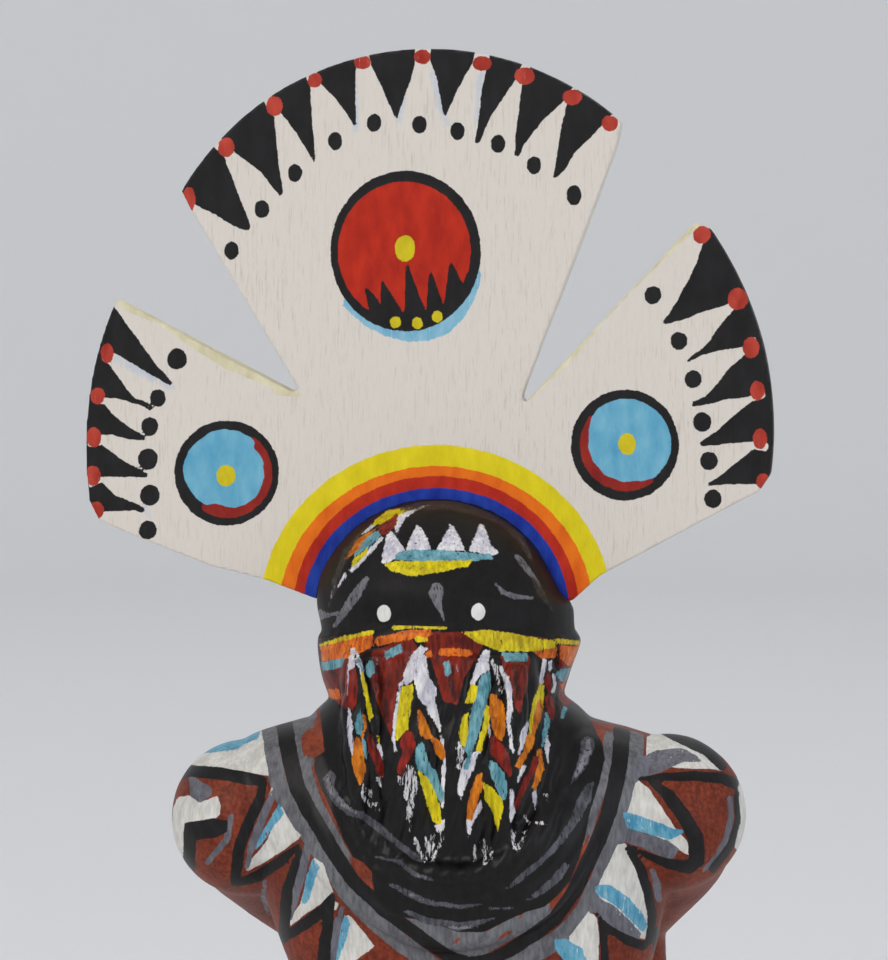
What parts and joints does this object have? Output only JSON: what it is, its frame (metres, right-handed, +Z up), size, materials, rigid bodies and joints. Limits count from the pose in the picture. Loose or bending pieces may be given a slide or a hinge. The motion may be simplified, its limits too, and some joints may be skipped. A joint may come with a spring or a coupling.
{
  "type": "carved wooden dancer doll with headdress board",
  "caption": "Standing carved and painted wooden doll in a hood and draped kerchief, with a sawn fan-shaped headdress board, on a low round base.",
  "frame": {"origin": "centre of the base's underside", "axes": "+Z up along the figure, -Y the way the figure faces, +X to the figure's left hand"},
  "size_m": [0.0867, 0.058, 0.2086],
  "materials": {
    "figure_paint": "carved wood, hand painted in acrylic, satin",
    "board_paint": "sawn softwood board, thin matt white paint with the grain showing",
    "base_wood": "stained and waxed turned wood"
  },
  "bodies": {
    "root": {"carved_figure": "figure_paint", "tablita_headdress": "board_paint", "base": "base_wood"}
  },
  "joints": []
}
